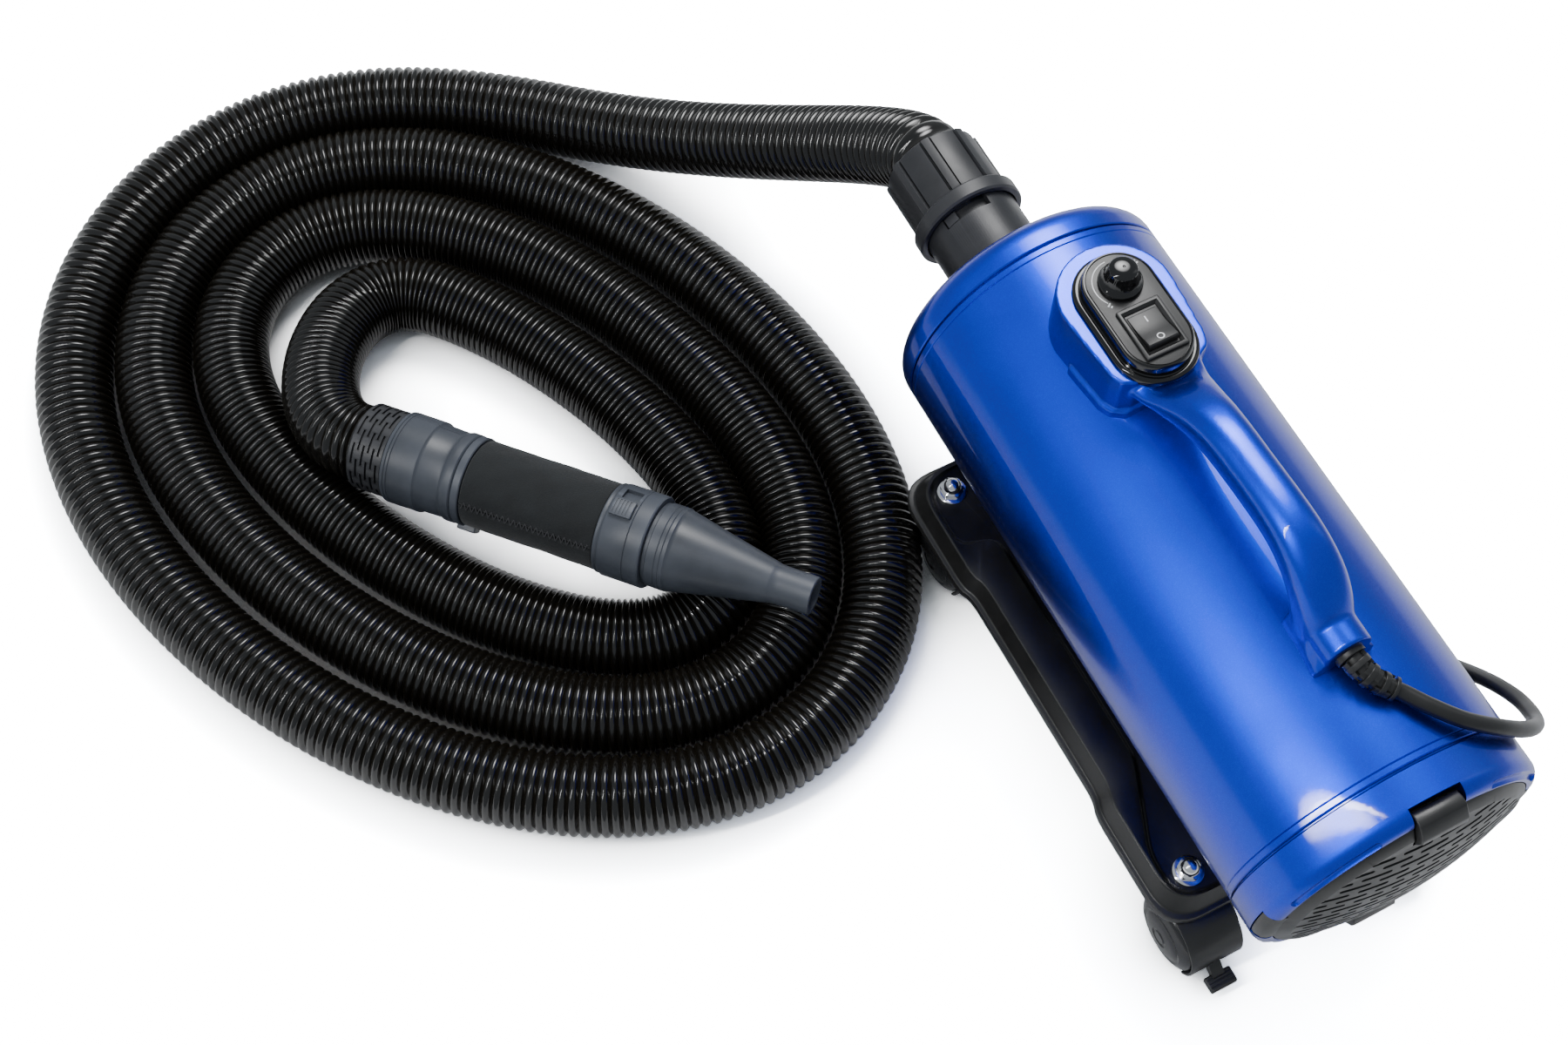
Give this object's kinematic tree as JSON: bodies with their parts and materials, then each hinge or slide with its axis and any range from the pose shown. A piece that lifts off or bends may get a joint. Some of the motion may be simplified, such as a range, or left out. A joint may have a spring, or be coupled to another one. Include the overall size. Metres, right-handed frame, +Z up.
{
  "type": "pet dryer",
  "caption": "Force dryer on swivel casters: horizontal blower cylinder with carrying handle, speed dial and switch, a coiled corrugated hose and a hand wand with a cone nozzle.",
  "frame": {"origin": "on the floor, at the middle of the whole footprint: dryer, coiled hose, wand and cord together", "axes": "+Z up; +Y the way the air leaves the outlet, along the body's axis; +X to the right of someone looking along +Y"},
  "size_m": [0.7018, 0.8757, 0.315],
  "materials": {
    "blue_paint": "deep metallic blue under clear gloss",
    "gloss_black": "mirror gloss",
    "satin_black": "satin moulded plastic",
    "hose_fittings": "satin moulded plastic",
    "wand_plastic": "fine-textured satin plastic",
    "hose_vinyl": "glossy corrugated vinyl",
    "grip_foam": "knit-faced foam sleeve",
    "cord_rubber": "smooth, slightly glossy",
    "seal_rubber": "matte",
    "filter_foam": "open-cell foam, matte",
    "bright_steel": "bright nickel plate",
    "motor_metal": "plain pressed steel",
    "impeller_metal": "plain",
    "circuit_board": "green board",
    "caster_plastic": "satin moulded nylon",
    "wheel_plastic": "half-gloss moulded nylon"
  },
  "bodies": {
    "dryer": {"body_tube": "blue_paint", "front_cap": "blue_paint", "rear_cap": "blue_paint", "outlet_spigot": "satin_black", "spigot_screw": "bright_steel", "handle": "blue_paint", "control_bezel": "gloss_black", "switch_frame": "satin_black", "speed_board": "circuit_board", "strain_relief": "cord_rubber", "power_cord": "cord_rubber", "mains_plug": "cord_rubber", "base_deck": "satin_black", "stud_nut_front_left": "bright_steel", "stud_nut_front_right": "bright_steel", "stud_nut_rear_left": "bright_steel", "stud_nut_rear_right": "bright_steel", "caster_stud_front_left": "bright_steel", "caster_stud_front_right": "bright_steel", "caster_stud_rear_left": "bright_steel", "caster_stud_rear_right": "bright_steel", "hose": "hose_vinyl", "wand_cuff": "wand_plastic", "fan_housing": "motor_metal", "motor_can": "motor_metal", "motor_mount": "seal_rubber", "inlet_seal": "seal_rubber", "intake_filter": "filter_foam", "sound_liner": "filter_foam"},
    "grille": {"intake_grille": "satin_black"},
    "top_latch": {"latch_top": "satin_black"},
    "bottom_latch": {"latch_bottom": "satin_black"},
    "rocker": {"power_rocker": "satin_black"},
    "knob": {"speed_knob": "gloss_black"},
    "collar": {"hose_collar": "hose_fittings"},
    "wand": {"wand_collar": "wand_plastic", "wand_barrel": "wand_plastic", "grip_sleeve": "grip_foam", "wand_front_ring": "wand_plastic"},
    "nozzle": {"cone_nozzle": "wand_plastic"},
    "fan": {"impeller": "impeller_metal"},
    "fork_front_left": {"caster_fork_front_left": "caster_plastic"},
    "wheel_front_left_outer": {"wheel_front_left_outer": "wheel_plastic"},
    "wheel_front_left_inner": {"wheel_front_left_inner": "wheel_plastic"},
    "fork_front_right": {"caster_fork_front_right": "caster_plastic"},
    "wheel_front_right_outer": {"wheel_front_right_outer": "wheel_plastic"},
    "wheel_front_right_inner": {"wheel_front_right_inner": "wheel_plastic"},
    "fork_rear_left": {"caster_fork_rear_left": "caster_plastic"},
    "wheel_rear_left_outer": {"wheel_rear_left_outer": "wheel_plastic"},
    "wheel_rear_left_inner": {"wheel_rear_left_inner": "wheel_plastic"},
    "fork_rear_right": {"caster_fork_rear_right": "caster_plastic"},
    "wheel_rear_right_outer": {"wheel_rear_right_outer": "wheel_plastic"},
    "wheel_rear_right_inner": {"wheel_rear_right_inner": "wheel_plastic"},
    "pedal_rear_left": {"brake_pedal_rear_left": "caster_plastic"},
    "pedal_rear_right": {"brake_pedal_rear_right": "caster_plastic"}
  },
  "joints": [
    {"name": "grille_pull", "type": "slide", "parent": "dryer", "child": "grille", "axis": [0, -1, 0], "range_m": [0, 0.06]},
    {"name": "top_latch_lift", "type": "hinge", "parent": "grille", "child": "top_latch", "pos_m": [0.21431, -0.42986, 0.239], "axis": [1, 0, 0], "range_deg": [0, 8]},
    {"name": "bottom_latch_lift", "type": "hinge", "parent": "grille", "child": "bottom_latch", "pos_m": [0.21431, -0.42986, 0.111], "axis": [-1, 0, 0], "range_deg": [0, 8]},
    {"name": "power_switch", "type": "hinge", "parent": "dryer", "child": "rocker", "pos_m": [0.21431, -0.14246, 0.297], "axis": [1, 0, 0], "range_deg": [0, 18]},
    {"name": "speed_dial", "type": "hinge", "parent": "dryer", "child": "knob", "pos_m": [0.21431, -0.11006, 0.3], "axis": [0, 0, 1], "range_deg": [-140, 140]},
    {"name": "hose_bayonet", "type": "hinge", "parent": "dryer", "child": "collar", "pos_m": [0.21431, 0.02814, 0.175], "axis": [0, 1, 0], "range_deg": [0, 40]},
    {"name": "wand_swivel", "type": "hinge", "parent": "dryer", "child": "wand", "pos_m": [-0.16219, 0.12244, 0.058], "axis": [0.6461, -0.7598, 0.0721], "continuous": true},
    {"name": "nozzle_bayonet", "type": "hinge", "parent": "wand", "child": "nozzle", "pos_m": [-0.16219, 0.12244, 0.058], "axis": [0.6461, -0.7598, 0.0721], "range_deg": [0, 30]},
    {"name": "fan_spin", "type": "hinge", "parent": "dryer", "child": "fan", "pos_m": [0.21431, -0.21886, 0.175], "axis": [0, 1, 0], "continuous": true},
    {"name": "swivel_front_left", "type": "hinge", "parent": "dryer", "child": "fork_front_left", "pos_m": [0.14731, -0.08036, 0], "axis": [0, 0, 1], "continuous": true, "deforming": ["hose"]},
    {"name": "roll_front_left_outer", "type": "hinge", "parent": "fork_front_left", "child": "wheel_front_left_outer", "pos_m": [0.14731, -0.09836, 0.025], "axis": [1, 0, 0], "continuous": true},
    {"name": "roll_front_left_inner", "type": "hinge", "parent": "fork_front_left", "child": "wheel_front_left_inner", "pos_m": [0.14731, -0.09836, 0.025], "axis": [1, 0, 0], "continuous": true},
    {"name": "swivel_front_right", "type": "hinge", "parent": "dryer", "child": "fork_front_right", "pos_m": [0.28131, -0.08036, 0], "axis": [0, 0, 1], "continuous": true},
    {"name": "roll_front_right_outer", "type": "hinge", "parent": "fork_front_right", "child": "wheel_front_right_outer", "pos_m": [0.28131, -0.09836, 0.025], "axis": [1, 0, 0], "continuous": true},
    {"name": "roll_front_right_inner", "type": "hinge", "parent": "fork_front_right", "child": "wheel_front_right_inner", "pos_m": [0.28131, -0.09836, 0.025], "axis": [1, 0, 0], "continuous": true},
    {"name": "swivel_rear_left", "type": "hinge", "parent": "dryer", "child": "fork_rear_left", "pos_m": [0.14731, -0.35736, 0], "axis": [0, 0, 1], "continuous": true},
    {"name": "roll_rear_left_outer", "type": "hinge", "parent": "fork_rear_left", "child": "wheel_rear_left_outer", "pos_m": [0.14731, -0.37536, 0.025], "axis": [1, 0, 0], "continuous": true},
    {"name": "roll_rear_left_inner", "type": "hinge", "parent": "fork_rear_left", "child": "wheel_rear_left_inner", "pos_m": [0.14731, -0.37536, 0.025], "axis": [1, 0, 0], "continuous": true},
    {"name": "swivel_rear_right", "type": "hinge", "parent": "dryer", "child": "fork_rear_right", "pos_m": [0.28131, -0.35736, 0], "axis": [0, 0, 1], "continuous": true},
    {"name": "roll_rear_right_outer", "type": "hinge", "parent": "fork_rear_right", "child": "wheel_rear_right_outer", "pos_m": [0.28131, -0.37536, 0.025], "axis": [1, 0, 0], "continuous": true},
    {"name": "roll_rear_right_inner", "type": "hinge", "parent": "fork_rear_right", "child": "wheel_rear_right_inner", "pos_m": [0.28131, -0.37536, 0.025], "axis": [1, 0, 0], "continuous": true},
    {"name": "brake_rear_left", "type": "hinge", "parent": "fork_rear_left", "child": "pedal_rear_left", "pos_m": [0.14731, -0.39536, 0.02], "axis": [1, 0, 0], "range_deg": [0, 12]},
    {"name": "brake_rear_right", "type": "hinge", "parent": "fork_rear_right", "child": "pedal_rear_right", "pos_m": [0.28131, -0.39536, 0.02], "axis": [1, 0, 0], "range_deg": [0, 12]}
  ]
}
